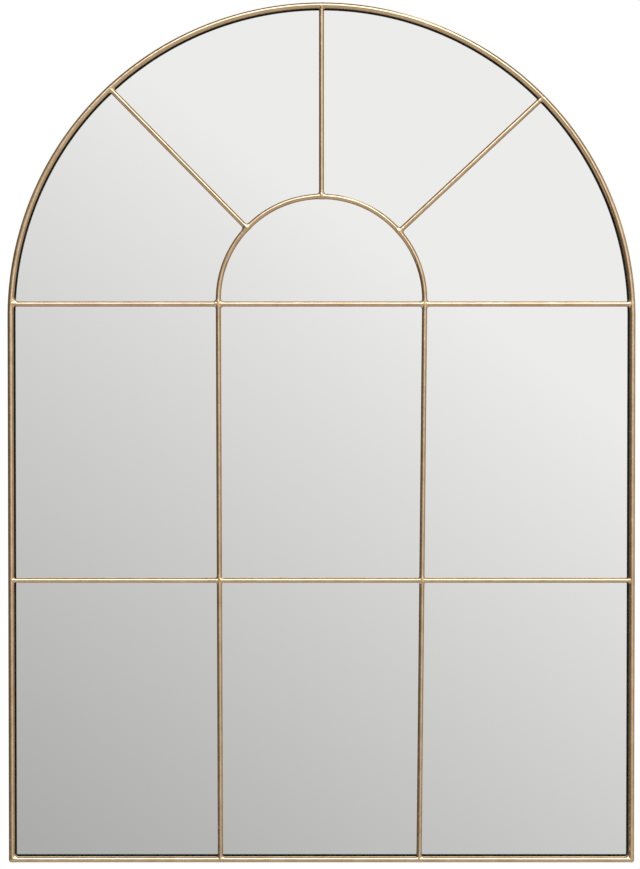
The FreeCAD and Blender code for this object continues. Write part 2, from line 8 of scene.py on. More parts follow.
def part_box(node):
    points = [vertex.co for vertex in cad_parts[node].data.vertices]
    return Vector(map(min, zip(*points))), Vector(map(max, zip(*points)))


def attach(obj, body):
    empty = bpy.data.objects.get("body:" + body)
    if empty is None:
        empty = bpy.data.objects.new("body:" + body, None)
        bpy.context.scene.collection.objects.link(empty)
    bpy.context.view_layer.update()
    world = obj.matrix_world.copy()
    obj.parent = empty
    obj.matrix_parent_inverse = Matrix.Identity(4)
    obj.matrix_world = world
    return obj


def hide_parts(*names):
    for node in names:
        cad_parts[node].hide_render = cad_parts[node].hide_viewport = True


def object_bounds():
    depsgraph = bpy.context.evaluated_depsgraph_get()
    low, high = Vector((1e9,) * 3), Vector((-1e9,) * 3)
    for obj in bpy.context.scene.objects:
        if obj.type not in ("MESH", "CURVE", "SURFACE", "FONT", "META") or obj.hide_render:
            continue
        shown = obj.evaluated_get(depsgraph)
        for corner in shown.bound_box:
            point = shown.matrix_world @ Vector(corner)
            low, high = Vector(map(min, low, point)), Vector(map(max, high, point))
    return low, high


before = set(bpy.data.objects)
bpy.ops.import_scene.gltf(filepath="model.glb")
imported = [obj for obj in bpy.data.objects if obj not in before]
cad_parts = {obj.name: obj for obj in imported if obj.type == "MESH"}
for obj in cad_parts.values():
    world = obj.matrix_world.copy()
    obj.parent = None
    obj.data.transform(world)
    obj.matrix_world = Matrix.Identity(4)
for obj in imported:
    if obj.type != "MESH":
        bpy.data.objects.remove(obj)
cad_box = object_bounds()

# Arched wall mirror: one sheet of mirror behind a welded window frame of satin gold steel rod.
# Metres, in the frame of the solids: +X to the right, +Z up, the front faces -Y.

MM = 0.001
NEAR = 0.1 * MM  # lengths that differ by less are the same
WAVE_BAND = math.pi / 10  # scale of a wave texture with bands one unit apart
FIBRE_DEPTH = 0.06 * MM
SCREEN_DEPTH = 0.4 * MM
BODY = "mirror"
SIDES = {"left": -1, "right": 1}

# Camera: straight on, framed as in the photograph, where a pixel is a millimetre
IMAGE_LONG_SIDE = 0.869
SENSOR = 36.0
CAMERA_DISTANCE = 2.5
CAMERA_X = -1.5 * MM
CAMERA_Z = -2.25 * MM

# Studio: a shell of soft light all round, brighter to the upper right, and a floor far below. A slant is
# how far a direction leans to the right, and a rise how far it leans up, as shares of its length.
SHELL_RADIUS = 8.0
FLOOR_DROP = 1.0
FLOOR_RADIUS = 5.0
FLOOR_WHITE = {"Is Camera Ray": 0.5, "Is Glossy Ray": 0.25}  # how white each of these sees the floor
MIRROR_GREY = 0.851  # how light the middle of the mirror shows, as an sRGB share
GREY_PER_METRE = (0.2196, 0.306)  # how that changes across the mirror, and up it
GREY_RANGE = (0.42, 0.922)  # the least and the most of it
LEFT_FALL = (-0.17, -0.45, 0.8)  # the room darkens between these slants to the left, to this share
FAR_LEFT_FALL = (-0.6, -0.98, 0.62)  # again further out
FAR_RIGHT_FALL = (0.65, 0.98, 0.76)  # far out to the right
HIGH_FALL = (0.64, 0.9, 0.58)  # and above the softbox overhead
LOW_CORNER = (0.2, 0.5, -0.15, -0.45, 0.5)  # slants and rises where the lower right darkens, and its loss
HIGH_CORNER = (0.25, 0.55, 0.3, 0.6, 0.35)  # the same for the upper corners
CEILING_BAND = (0.24, 0.34, 0.74, 0.92)  # rise where the softbox overhead begins, is full, and ends
CEILING_FALL = (0.14, 0.5, 0.1)  # to the sides it weakens between these slants, to this share
CEILING_GREY = 0.95  # what it adds
ROOM_LEVEL = 0.64  # even light on matt surfaces
WORLD_LEVEL = 0.5  # the same from the world beyond the shell
DISPLAY_GAMMA = 2.2
SOFTBOX_TINT = "#CFE2FF"
SIDE_BOX = (0.17, 0.23, 0.32, 0.42)  # slant where a tall softbox on the right begins, is full, and ends
SIDE_BOX_RISE = (-0.02, 0.12)  # it is full only towards the top of the mirror
SIDE_BOX_GREY = 0.45
SILVER = "#F0F0EF"
GOLD_RIM = "#6B4C32"  # a rod seen edge on is darker
SILVER_SHARE = 0.87  # of the light that the silvered face gives back

# Welds and edges
WELD_REACH = 13 * MM  # how far a ground weld runs along each rod
RUN_STEPS = 12  # along that reach
JOINT_SLACK = 0.5 * MM  # a rod that ends this near to a joint stops there
WELD_PROUD = 0.35 * MM  # on the bars, and less on the rails, which are ground flush
RAIL_PROUD = 0.1 * MM
WELD_END_SINK = 0.5 * MM  # how deep the ends of a weld lie inside the rod
WELD_FILL = 6.0 * MM  # from the joint to where the metal laid in a corner runs out along the rods
HEAVY_FILL = 9.5 * MM  # the same on top of the upper cross bar on the left, where the weld is heaviest
LIGHT_FILL = 4.0 * MM  # and along the lower cross bar
FOOT_FILL = 9.5 * MM  # and in the two lower corners of the frame
FILL_RADIUS = 2.2 * MM
FILL_STEPS = 10
FILL_CORNERS = (math.radians(20), math.radians(150))  # sharper and blunter corners get none
INNER_FILL = 0.6  # a second run of metal behind the first, as a share of its reach
FILL_SPREAD = 0.3  # how much that differs from joint to joint
CORNER_OVERRUN = 2.0 * MM
GLASS_ROOM = 0.05 * MM  # between a weld and the mirror
WELD_VOXEL = 0.4 * MM
WELD_SMOOTHING = 22
WELD_LUMP = 0.2 * MM  # how uneven the ground metal is
WELD_LUMP_SIZE = 2.6 * MM  # and over what length
CORNER_GRIND = 0.9 * MM  # taken off the two lower corners of the frame
ARC_STEP = math.radians(1.0)
ROD_SIDES = 36
TUBE_SIDES = 24
GLASS_ARRIS = 0.4 * MM

# Hardware on the back
BEND_STEPS = 8  # along a bend or a rounded edge
EASE_ANGLE = math.radians(40)  # only edges sharper than this are eased
ARCH_TABS = 5
SIDE_TABS = 3
FOOT_TABS = 3
TAB_SHEET = 1.0 * MM
TAB_BEND = 0.9 * MM  # radius of the middle of the sheet
TAB_ROUND = 2.5 * MM
TAB_ROUND_STEPS = 10
TAB_EASE = 0.12 * MM  # width of the eased edges
BEAD_RADIUS = 0.8 * MM  # weld along each face of a tab
BEAD_SHARE = 0.9  # of the width of the tab
BEAD_FULL = 0.95  # shares of its radius: the mean, the ripple and the loss at the ends
BEAD_RIPPLE = 0.25
BEAD_RUN_OUT = 0.7
BEAD_STEPS = 16
BEAD_SIDES = 12
STRAP_SHEET = 0.8 * MM
STRAP_ROUND = 4 * MM
STRAP_ROUND_STEPS = 12
STRAP_EASE = 0.14 * MM
CURL_END = math.radians(-95)  # where the curl stops, seen from the wire
CURL_STEPS = 40
BOARD_ARRIS = 0.5 * MM
BUMPER_FACE = 5.5 * MM  # radius that lies on the wall
BUMPER_ROUND = 1.4 * MM
BUMPER_DISH = 0.3 * MM
BUMPER_DISH_SHARE = 0.45  # of the radius of the face is flat in the dish
BUMPER_EDGE = 0.4 * MM
BUMPER_SIDES = 64


def mid(low, high):
    return (low + high) / 2


# Places read from the solids
rail_low, rail_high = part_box("arch_rail")
foot_low, foot_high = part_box("bottom_rail")
upper_low, upper_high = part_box("upper_cross_bar")
lower_low, lower_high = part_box("lower_cross_bar")
inner_low, inner_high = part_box("inner_arch")
glass_low, glass_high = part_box("mirror_glass")
board_low, board_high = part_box("back_board")

RAIL_ROD = rail_high.y - rail_low.y
RAIL_Y = mid(rail_low.y, rail_high.y)
ARCH_RADIUS = (rail_high.x - rail_low.x - RAIL_ROD) / 2
SPRINGING = rail_high.z - RAIL_ROD / 2 - ARCH_RADIUS
FOOT_Z = mid(foot_low.z, foot_high.z)
FOOT_X = foot_high.x - RAIL_ROD / 2 + CORNER_GRIND / math.sqrt(2)
FOOT_RISE = SPRINGING - FOOT_Z
RAIL_LEAN = math.asin(ARCH_RADIUS / math.hypot(FOOT_X, FOOT_RISE)) - math.atan(FOOT_X / FOOT_RISE)

BAR_ROD = upper_high.y - upper_low.y
BAR_Y = mid(upper_low.y, upper_high.y)
UPPER_BAR = mid(upper_low.z, upper_high.z)
LOWER_BAR = mid(lower_low.z, lower_high.z)
INNER_RADIUS = (inner_high.x - inner_low.x - BAR_ROD) / 2
INNER_SPRINGING = inner_high.z - BAR_ROD / 2 - INNER_RADIUS
SPOKE_ANGLES = {"left": 180 - 45.5, "centre": 90, "right": 43}  # degrees from +X

GLASS_INSET = ARCH_RADIUS - (glass_high.x - glass_low.x) / 2
BOARD_INSET = ARCH_RADIUS - (board_high.x - board_low.x) / 2


# Small helpers


def linear(hex_colour):
    """An sRGB hex colour as linear red, green, blue and alpha."""
    parts = [int(hex_colour[i:i + 2], 16) / 255 for i in (1, 3, 5)]
    return [c / 12.92 if c <= 0.04045 else ((c + 0.055) / 1.055) ** 2.4 for c in parts] + [1.0]


def per_metre(millimetres):
    """Texture scale that gives a pattern of about that size."""
    return 1 / (millimetres * MM)


def shares(count):
    """Even steps from nought to one."""
    return [i / count for i in range(count + 1)]


# Steps of node trees


def add_node(tree, kind, inputs=(), **settings):
    """Adds a node; an input is given a value, or is linked where the value is a socket."""
    node = tree.nodes.new(kind)
    for name, value in settings.items():
        setattr(node, name, value)
    for name, value in dict(inputs).items():
        if isinstance(value, bpy.types.NodeSocket):
            tree.links.new(value, node.inputs[name])
        else:
            node.inputs[name].default_value = value
    return node


def maths(tree, operation, *values):
    """Result of a maths node, whose values are numbers or sockets."""
    return add_node(tree, "ShaderNodeMath", dict(enumerate(values)), operation=operation).outputs[0]


def ranged(tree, source, start, end, first=0.0, last=1.0, curve="LINEAR"):
    """Value that goes from a first to a last one while the source goes from start to end."""
    node = add_node(tree, "ShaderNodeMapRange", {
        "Value": source, "From Min": start, "From Max": end, "To Min": first, "To Max": last,
    }, interpolation_type=curve)
    return node.outputs["Result"]


def fade(tree, source, start, end, first=0.0, last=1.0):
    """The same, with a smooth start and end."""
    return ranged(tree, source, start, end, first, last, "SMOOTHSTEP")


def new_material(name):
    material = bpy.data.materials.new(name)
    material.use_nodes = True
    material.node_tree.nodes.clear()
    return material, material.node_tree


def on_piece(tree):
    """The place on a piece that its textures follow."""
    return add_node(tree, "ShaderNodeTexCoord").outputs["Object"]


def noise_field(tree, millimetres, detail, **inputs):
    """Noise with features of about a size."""
    scale = per_metre(millimetres)
    inputs = {"Vector": on_piece(tree), "Scale": scale, "Detail": detail, **inputs}
    return add_node(tree, "ShaderNodeTexNoise", inputs).outputs["Fac"]


def two_tones(tree, source, dark, light, low=0.0, high=1.0):
    """Colour that goes from a dark to a light tone while the source goes from low to high."""
    ramp = add_node(tree, "ShaderNodeValToRGB", {"Fac": source})
    for element, position, tone in zip(ramp.color_ramp.elements, (low, high), (dark, light)):
        element.position = position
        element.color = linear(tone)
    return ramp.outputs["Color"]


def relief(tree, height, strength, depth, normal=None):
    """Normal of a surface with bumps, which may lie on other bumps."""
    inputs = {"Height": height, "Strength": strength, "Distance": depth}
    if normal:
        inputs["Normal"] = normal
    return add_node(tree, "ShaderNodeBump", inputs).outputs["Normal"]


def surface(tree, inputs):
    """Ends a material with one shader."""
    shader = add_node(tree, "ShaderNodeBsdfPrincipled", inputs)
    add_node(tree, "ShaderNodeOutputMaterial", {"Surface": shader.outputs["BSDF"]})


def node_group(name, inputs, output):
    """An empty Geometry Nodes tree with named inputs and one output."""
    tree = bpy.data.node_groups.new(name, "GeometryNodeTree")
    for label, kind in inputs.items():
        tree.interface.new_socket(label, in_out="INPUT", socket_type="NodeSocket" + kind)
    tree.interface.new_socket(output, in_out="OUTPUT", socket_type="NodeSocketGeometry")
    return tree


# Meshes and pieces


def outward_mesh(shape, name):
    """A mesh of a shape that was built face by face, with its faces turned outwards."""
    bmesh.ops.recalc_face_normals(shape, faces=shape.faces)
    mesh = bpy.data.meshes.new(name)
    shape.to_mesh(mesh)
    shape.free()
    return mesh


def close_rings(shape, rings):
    """Side faces between rings of as many points, and a cap on the first and the last."""
    sides = []
    for first, second in zip(rings, rings[1:]):
        for k in range(len(first)):
            sides.append(shape.faces.new((first[k], first[k - 1], second[k - 1], second[k])))
    return sides, shape.faces.new(rings[0]), shape.faces.new(rings[-1][::-1])


def new_piece(name, mesh, *materials):
    """An object at the origin with its place in its mesh."""
    for material in materials:
        mesh.materials.append(material)
    piece = bpy.data.objects.new(name, mesh)
    bpy.context.scene.collection.objects.link(piece)
    return piece


def keep(piece, slot, *nodes):
    """A finished piece: it rides on the mirror and may stand for nodes, whose solids it hides. The slot is
    not used.
    """
    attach(piece, BODY)
    if nodes:
        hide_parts(*nodes)


def as_mesh(maker, name, *materials):
    """The evaluated shape of an object with modifiers as a plain mesh piece; the maker goes."""
    shaped = maker.evaluated_get(bpy.context.evaluated_depsgraph_get())
    mesh = bpy.data.meshes.new_from_object(shaped)
    bpy.data.objects.remove(maker)
    mesh.name = name
    return new_piece(name, mesh, *materials)


# Materials


def satin_gold_paint():
    """Sprayed gold paint on steel: warm metal flake under a thin lacquer, finely pebbled by the spray,
    so highlights are soft-edged and the tone drifts a little along a rod."""
    material, tree = new_material("satin_gold_paint")
    drift = noise_field(tree, millimetres=14, detail=3.0)
    run = noise_field(tree, millimetres=7, detail=1.0)
    pebble = noise_field(tree, millimetres=0.8, detail=2.0)
    # Thick and thin paint over a few millimetres makes the highlights wander
    wander = relief(tree, run, strength=1.0, depth=0.25 * MM)
    surface(tree, {
        "Base Color": two_tones(tree, drift, "#C9A880", "#DABC93", low=0.3, high=0.7),
        "Metallic": 1.0,
        "Roughness": ranged(tree, pebble, 0.3, 0.7, first=0.13, last=0.19),
        "Normal": relief(tree, pebble, strength=0.08, depth=0.02 * MM, normal=wander),
        "Specular Tint": linear(GOLD_RIM),
        "Coat Weight": 0.2,
        "Coat Roughness": 0.1,
    })
    return material


def silvered_glass():
    """Float glass silvered behind: a clean mirror, with a trace of haze where it was wiped."""
    material, tree = new_material("silvered_glass")
    haze = noise_field(tree, millimetres=120, detail=4.0)
    surface(tree, {
        "Base Color": linear(SILVER),
        "Metallic": 1.0,
        "Roughness": ranged(tree, haze, 0.35, 0.75, first=0.012, last=0.03),
    })
    return material


def ground_glass_edge():
    """The cut edge of the mirror, ground matt: grey-green, with the faint lines of the stone."""
    material, tree = new_material("ground_glass_edge")
    lines = noise_field(tree, millimetres=0.5, detail=3.0)
    surface(tree, {
        "Base Color": two_tones(tree, lines, "#5F7A70", "#93AAA0"),
        "Roughness": 0.45,
        "IOR": 1.52,
        "Normal": relief(tree, lines, strength=0.4, depth=0.05 * MM),
    })
    return material


def backing_paint():
    """Grey paint rolled over the silver on the back of the mirror: even, with a fine roller stipple."""
    material, tree = new_material("mirror_backing_paint")
    stipple = noise_field(tree, millimetres=1.5, detail=2.0)
    surface(tree, {
        "Base Color": two_tones(tree, stipple, "#6E7376", "#82878A"),
        "Roughness": 0.5,
        "Normal": relief(tree, stipple, strength=0.3, depth=0.05 * MM),
    })
    return material


def black_fibreboard(screened):
    """Hardboard pressed from dyed fibre: warm black and matt, with short pale fibres in the face. The
    back may carry the mesh of the screen that it was pressed on, which catches a low light."""
    material, tree = new_material("screened_fibreboard" if screened else "black_fibreboard")
    cloud = noise_field(tree, millimetres=35, detail=4.0)
    # Real fibres are near 0.1 mm across; drawn 1 mm across so that they show
    strands = noise_field(tree, millimetres=1.0, detail=5.0, Distortion=1.6)
    flecked = add_node(tree, "ShaderNodeMix", {
        "Factor": two_tones(tree, strands, "#000000", "#6A6A6A", low=0.6, high=0.72),
        "A": two_tones(tree, cloud, "#171412", "#24201C", low=0.35, high=0.7),
        "B": linear("#4A4036"),
    }, data_type="RGBA")
    height, depth = strands, FIBRE_DEPTH
    if screened:
        # The wires of a real screen are near 1.2 mm apart; drawn 3 mm apart so that they show
        bands = {"Vector": on_piece(tree), "Scale": WAVE_BAND * per_metre(3), "Distortion": 0.4}
        wires = [
            add_node(tree, "ShaderNodeTexWave", bands, bands_direction=axis).outputs["Fac"]
            for axis in "XZ"
        ]
        height, depth = maths(tree, "ADD", maths(tree, "MAXIMUM", *wires), strands), SCREEN_DEPTH
    surface(tree, {
        "Base Color": flecked.outputs["Result"],
        "Roughness": ranged(tree, strands, 0.3, 0.7, first=0.62, last=0.82),
        "Normal": relief(tree, height, strength=0.6, depth=depth),
    })
    return material


def foam_tape():
    """Closed-cell foam tape: off-white, soft and dull, with small cells along its cut edges."""
    material, tree = new_material("foam_tape")
    foam = add_node(tree, "ShaderNodeTexVoronoi", {"Vector": on_piece(tree), "Scale": per_metre(0.4)})
    cells = foam.outputs["Distance"]
    surface(tree, {
        "Base Color": two_tones(tree, cells, "#CFCBC2", "#E6E3DC"),
        "Roughness": 0.9,
        "Normal": relief(tree, cells, strength=0.6, depth=0.1 * MM),
    })
    return material


def zinc_plate():
    """Bright zinc on pressed steel: bluish white metal, clouded here and there by its passivation."""
    material, tree = new_material("zinc_plated_steel")
    cloud = noise_field(tree, millimetres=4, detail=3.0)
    grain = noise_field(tree, millimetres=0.4, detail=2.0)
    surface(tree, {
        "Base Color": two_tones(tree, cloud, "#B4B8BC", "#D3D3CE", low=0.3, high=0.7),
        "Metallic": 1.0,
        "Roughness": ranged(tree, cloud, 0.3, 0.7, first=0.24, last=0.4),
        "Normal": relief(tree, grain, strength=0.25, depth=0.02 * MM),
    })
    return material


def bumper_rubber():
    """Moulded black rubber: dull, with a fine texture from the mould and a bloom of dust."""
    material, tree = new_material("moulded_rubber")
    bloom = noise_field(tree, millimetres=3, detail=4.0)
    surface(tree, {
        "Base Color": two_tones(tree, bloom, "#242425", "#3C3C3B", low=0.35, high=0.75),
        "Roughness": 0.7,
        "Normal": relief(tree, bloom, strength=0.3, depth=0.05 * MM),
    })
    return material


# Frame


def arc_points(radius, centre, lean=0.0):
    """Half a circle over the top, from right to left, as x and z; it goes on by the lean at each end."""
    sweep = math.pi + 2 * lean
    steps = round(sweep / ARC_STEP)
    turns = [-lean + sweep * i / steps for i in range(steps + 1)]
    return [(radius * math.cos(turn), centre + radius * math.sin(turn)) for turn in turns]


def arch_points(inset):
    """Right foot, arch and left foot of the rails' axis, set in by a distance, as x and z."""
    foot_x = FOOT_X + inset * math.tan(RAIL_LEAN) - inset / math.cos(RAIL_LEAN)
    arch = arc_points(ARCH_RADIUS - inset, SPRINGING, RAIL_LEAN)
    return [(foot_x, FOOT_Z + inset)] + arch + [(-foot_x, FOOT_Z + inset)]


def rail_x(z):
    """How far the axis of the rail is from the middle at a height."""
    if z > SPRINGING:
        return math.sqrt(ARCH_RADIUS ** 2 - (z - SPRINGING) ** 2)
    return FOOT_X + (z - FOOT_Z) * math.tan(RAIL_LEAN)


def leg_ends(word, side):
    """Top and foot of the line of upright bars on one side, as x and z."""
    top_low, top_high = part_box(word + "_mid_bar")
    low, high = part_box(word + "_lower_bar")
    outer = side * max(abs(top_low.x), abs(top_high.x)) - side * BAR_ROD / 2
    inner = side * min(abs(low.x), abs(high.x)) + side * BAR_ROD / 2
    return (outer, UPPER_BAR), (inner, FOOT_Z)


def leg_at(word, side, z):
    """Place on that line at a height."""
    (top_x, top_z), (foot_x, foot_z) = leg_ends(word, side)
    return (foot_x + (top_x - foot_x) * (z - foot_z) / (top_z - foot_z), z)


def spoke_ends(angle):
    """Where a spoke's line from the middle of the upper bar meets the inner arch and the rail."""
    across, up = math.cos(math.radians(angle)), math.sin(math.radians(angle))
    ends = []
    for radius, centre in ((INNER_RADIUS, INNER_SPRINGING), (ARCH_RADIUS, SPRINGING)):
        above = centre - UPPER_BAR
        run = above * up + math.sqrt(radius ** 2 - (above * across) ** 2)
        ends.append((run * across, UPPER_BAR + run * up))
    return ends


def rod_runs():
    """Axis of each rod as points in x and z, with its depth and diameter."""
    runs = {
        "arch_rail": (arch_points(0), RAIL_Y, RAIL_ROD),
        "bottom_rail": ([(-FOOT_X, FOOT_Z), (FOOT_X, FOOT_Z)], RAIL_Y, RAIL_ROD),
    }
    for name, z in (("upper_cross_bar", UPPER_BAR), ("lower_cross_bar", LOWER_BAR)):
        runs[name] = ([(-rail_x(z), z), (rail_x(z), z)], BAR_Y, BAR_ROD)
    arch = arc_points(INNER_RADIUS, INNER_SPRINGING)
    stilted = [(INNER_RADIUS, UPPER_BAR)] + arch + [(-INNER_RADIUS, UPPER_BAR)]
    runs["inner_arch"] = (stilted, BAR_Y, BAR_ROD)
    for word, side in SIDES.items():
        spans = {"mid": (LOWER_BAR, UPPER_BAR), "lower": (FOOT_Z, LOWER_BAR)}
        for part, (foot, top) in spans.items():
            ends = [leg_at(word, side, z) for z in (foot, top)]
            runs[f"{word}_{part}_bar"] = (ends, BAR_Y, BAR_ROD)
    for word, angle in SPOKE_ANGLES.items():
        runs[word + "_spoke"] = (spoke_ends(angle), BAR_Y, BAR_ROD)
    return runs


def rod_tree(paint):
    """Geometry Nodes tree that sweeps a round section along a curve."""
    tree = node_group("round_rod", {"Axis": "Geometry", "Diameter": "Float", "Sides": "Int"}, "Rod")
    given = add_node(tree, "NodeGroupInput")
    section = add_node(tree, "GeometryNodeCurvePrimitiveCircle", {
        "Resolution": given.outputs["Sides"],
        "Radius": maths(tree, "MULTIPLY", given.outputs["Diameter"], 0.5),
    })
    swept = add_node(tree, "GeometryNodeCurveToMesh", {
        "Curve": given.outputs["Axis"], "Profile Curve": section.outputs["Curve"], "Fill Caps": True,
    })
    smooth = add_node(tree, "GeometryNodeSetShadeSmooth", {"Geometry": swept.outputs["Mesh"]})
    real = add_node(tree, "GeometryNodeRealizeInstances", {"Geometry": smooth.outputs["Geometry"]})
    painted = add_node(tree, "GeometryNodeSetMaterial", {
        "Geometry": real.outputs["Geometry"], "Material": paint,
    })
    add_node(tree, "NodeGroupOutput", {"Rod": painted.outputs["Geometry"]})
    return tree


def set_inputs(modifier, **values):
    """Sets a Geometry Nodes modifier's inputs, found by name, through their identifiers."""
    for item in modifier.node_group.interface.items_tree:
        if item.in_out == "INPUT" and item.name in values:
            modifier[item.identifier] = values[item.name]


def sweep_rod(name, points, y, diameter, tree):
    """A rod along points in x and z at one depth."""
    axis = bpy.data.curves.new(name, "CURVE")
    axis.dimensions = "3D"
    spline = axis.splines.new("POLY")
    spline.points.add(len(points) - 1)
    for point, (x, z) in zip(spline.points, points):
        point.co = (x, y, z, 1)
    maker = bpy.data.objects.new(name + "_axis", axis)
    bpy.context.scene.collection.objects.link(maker)
    sweep = maker.modifiers.new("round_rod", "NODES")
    sweep.node_group = tree
    set_inputs(sweep, Diameter=diameter, Sides=ROD_SIDES)
    return as_mesh(maker, name + "_rod")


def make_rods(paint):
    tree = rod_tree(paint)
    for name, (points, y, diameter) in rod_runs().items():
        keep(sweep_rod(name, points, y, diameter, tree), "satin_gold", name)


# Welds


def weld_spots():
    """Where rods meet, as x and z with the names of the rods there."""
    spots = []
    for word, side in SIDES.items():
        for name, z in (("upper_cross_bar", UPPER_BAR), ("lower_cross_bar", LOWER_BAR)):
            spots.append(((side * rail_x(z), z), (name, "arch_rail")))
        upper = leg_at(word, side, UPPER_BAR)
        spots.append((upper, ("upper_cross_bar", "inner_arch", word + "_mid_bar")))
        lower = leg_at(word, side, LOWER_BAR)
        spots.append((lower, ("lower_cross_bar", word + "_mid_bar", word + "_lower_bar")))
        spots.append((leg_at(word, side, FOOT_Z), ("bottom_rail", word + "_lower_bar")))
        spots.append(((side * FOOT_X, FOOT_Z), ("bottom_rail", "arch_rail")))
    for word, angle in SPOKE_ANGLES.items():
        inner, outer = spoke_ends(angle)
        spots.append((inner, ("inner_arch", word + "_spoke")))
        spots.append((outer, ("arch_rail", word + "_spoke")))
    return spots


def near_run(points, spot, reach):
    """The part of a rod's axis that is within reach of a spot, in short steps."""
    step = reach / RUN_STEPS
    found = []
    for start, end in zip(points, points[1:]):
        start, end = Vector(start), Vector(end)
        pieces = max(1, math.ceil((end - start).length / step))
        for i in range(pieces + 1):
            point = start.lerp(end, i / pieces)
            apart = not found or (point - found[-1]).length > step / 4
            if apart and (point - Vector(spot)).length <= reach:
                found.append(point)
    return found


def add_tube(shape, points, radii, y, sides=TUBE_SIDES):
    """A closed tube along points in x and z."""
    rings = []
    for i, point in enumerate(points):
        ahead = points[min(i + 1, len(points) - 1)] - points[max(i - 1, 0)]
        across = Vector((-ahead.y, ahead.x)).normalized()
        ring = []
        for k in range(sides):
            turn = 2 * math.pi * k / sides
            out = across * math.cos(turn) * radii[i]
            ring.append(shape.verts.new((point.x + out.x, y + math.sin(turn) * radii[i], point.y + out.y)))
        rings.append(ring)
    close_rings(shape, rings)


def stops_at(points, spot):
    """Whether a rod has an end at a joint."""
    return min((Vector(end) - Vector(spot)).length for end in (points[0], points[-1])) < JOINT_SLACK


def weld_run(points, spot, corner):
    """The axis of a rod near a joint; at a corner it runs on a little, which fills the outside."""
    found = near_run(points, spot, WELD_REACH)
    if corner and (found[0] - Vector(spot)).length < (found[-1] - Vector(spot)).length:
        found.reverse()
    if corner:
        found.append(found[-1] + (found[-1] - found[-2]).normalized() * CORNER_OVERRUN)
    return found


def fill_reach(names, spot, middle):
    """How far from a joint the metal in the corner round a direction runs out along the rods."""
    if "lower_cross_bar" in names:
        return LIGHT_FILL
    if names == ("bottom_rail", "arch_rail"):
        return FOOT_FILL
    if names == ("upper_cross_bar", "arch_rail") and spot.x < 0 < middle.y:
        return HEAVY_FILL
    return WELD_FILL


def corner_fills(spot, names, rays):
    """Lines of weld metal laid across the corners between neighbouring rods at a joint."""
    rays = sorted(rays, key=lambda ray: math.atan2(ray.y, ray.x))
    fills = []
    for ray, following in zip(rays, rays[1:] + rays[:1]):
        turn = (math.atan2(following.y, following.x) - math.atan2(ray.y, ray.x)) % (2 * math.pi)
        if not FILL_CORNERS[0] <= turn <= FILL_CORNERS[1]:
            continue
        uneven = noise.noise(Vector((*(spot + ray * WELD_REACH), 0)) / WELD_REACH)
        reach = fill_reach(names, spot, ray + following) * (1 + FILL_SPREAD * uneven)
        for run_out in (reach, reach * INNER_FILL):
            bow = run_out * math.tan(turn / 2)
            centre = spot + (ray + following).normalized() * run_out / math.cos(turn / 2)
            start = spot + ray * run_out - centre
            aim = math.atan2(start.y, start.x)
            turns = [aim + (turn - math.pi) * i / FILL_STEPS for i in range(FILL_STEPS + 1)]
            fills.append([centre + bow * Vector((math.cos(t), math.sin(t))) for t in turns])
    return fills


def weld_radius(diameter, share):
    """Radius of a weld round a rod at a share of its reach: proud at the joint, sunk in at the end."""
    proud = RAIL_PROUD if diameter > BAR_ROD + NEAR else WELD_PROUD
    return diameter / 2 + (proud * (1 - share) ** 2 - WELD_END_SINK * share ** 3)


def weld_shape():
    """Short fat lengths of the rods that meet at each joint, and the metal laid across the corners."""
    runs = rod_runs()
    shape = bmesh.new()
    for spot, names in weld_spots():
        corner = all(stops_at(runs[name][0], spot) for name in names)
        rays = []
        for name in names:
            points, y, diameter = runs[name]
            found = weld_run(points, spot, corner)
            reached = [(point - Vector(spot)).length / WELD_REACH for point in found]
            add_tube(shape, found, [weld_radius(diameter, share) for share in reached], y)
            ends = [point - Vector(spot) for point in (found[0], found[-1])]
            rays += [ray.normalized() for ray in ends if ray.length > WELD_REACH / 2]
        for fill in corner_fills(Vector(spot), names, rays):
            add_tube(shape, fill, [FILL_RADIUS] * len(fill), BAR_Y)
    return shape


def grind(mesh):
    """Makes weld metal a little uneven, and keeps it in front of the glass and in the box of the solids."""
    front_of_glass = glass_low.y - GLASS_ROOM
    low, high = cad_box
    normals = [vertex.normal.copy() for vertex in mesh.vertices]
    for vertex, normal in zip(mesh.vertices, normals):
        place = vertex.co + normal * noise.noise(vertex.co / WELD_LUMP_SIZE) * WELD_LUMP
        place = Vector(max(least, min(most, value)) for least, value, most in zip(low, place, high))
        place.y = min(place.y, front_of_glass)
        vertex.co = place


def make_welds(paint):
    """Ground welds: the metal at the joints, melted into one skin."""
    maker = new_piece("weld_runs", outward_mesh(weld_shape(), "weld_runs"))
    melt = maker.modifiers.new("melt", "REMESH")
    melt.mode = "VOXEL"
    melt.voxel_size = WELD_VOXEL
    settle = maker.modifiers.new("settle", "SMOOTH")
    settle.factor = 0.5
    settle.iterations = WELD_SMOOTHING
    welds = as_mesh(maker, "ground_welds", paint)
    grind(welds.data)
    welds.data.shade_smooth()
    keep(welds, "satin_gold")


# Mirror and board


def plate_mesh(name, inset, front, back, arris):
    """A flat arched plate with eased edges; its faces carry slot 0 in front, 1 round the edge, 2 behind."""
    shape = bmesh.new()
    rings = []
    for step_in, y in ((arris, front), (0, front + arris), (0, back - arris), (arris, back)):
        rings.append([shape.verts.new((x, y, z)) for x, z in arch_points(inset + step_in)])
    edge, front_face, back_face = close_rings(shape, rings)
    for face in edge:
        face.material_index = 1
    front_face.material_index = 0
    back_face.material_index = 2
    return outward_mesh(shape, name)


def make_glass():
    sheet = plate_mesh("mirror_sheet", GLASS_INSET, glass_low.y, glass_high.y, GLASS_ARRIS)
    piece = new_piece("mirror_sheet", sheet, silvered_glass(), ground_glass_edge(), backing_paint())
    keep(piece, "mirror", "mirror_glass")


